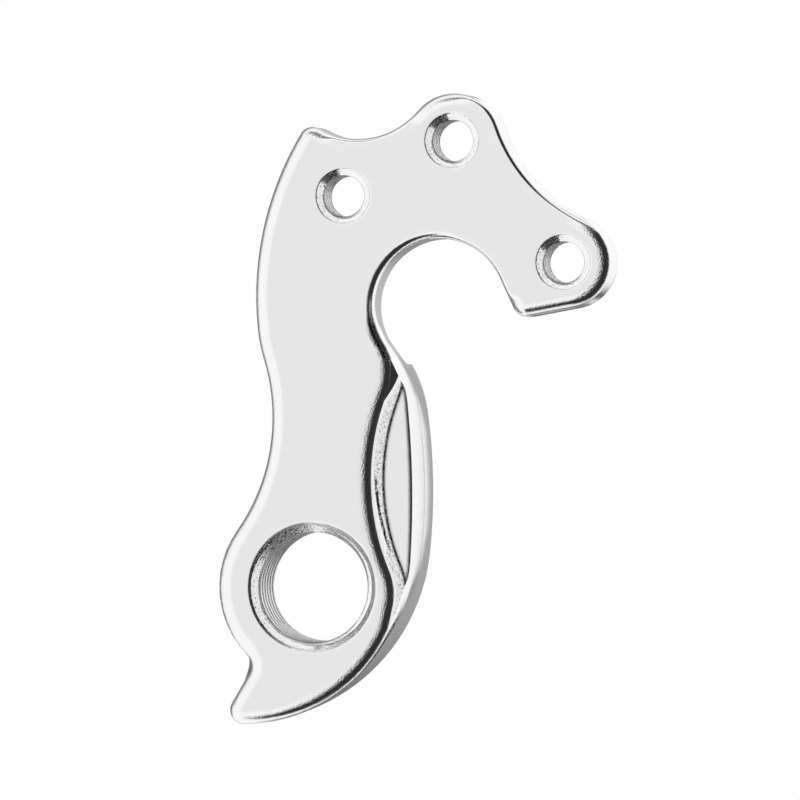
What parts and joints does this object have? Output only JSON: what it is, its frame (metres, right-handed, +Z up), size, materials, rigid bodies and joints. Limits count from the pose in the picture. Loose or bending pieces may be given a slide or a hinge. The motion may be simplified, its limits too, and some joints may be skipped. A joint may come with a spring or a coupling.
{
  "type": "bicycle derailleur hanger",
  "caption": "Flat aluminium bicycle derailleur hanger: lobed fixing flange with a notch for the axle, stepped arm with a side terrace, a large threaded eye and a hooked tail.",
  "frame": {"origin": "where the derailleur hole's axis meets the outer face", "axes": "+X forward along the bicycle, +Y through the thickness towards the wheel, +Z up"},
  "size_m": [0.0324, 0.0076, 0.0514],
  "materials": {
    "bright_aluminium": "tumbled bright"
  },
  "bodies": {
    "root": {"derailleur_hanger": "bright_aluminium"}
  },
  "joints": []
}
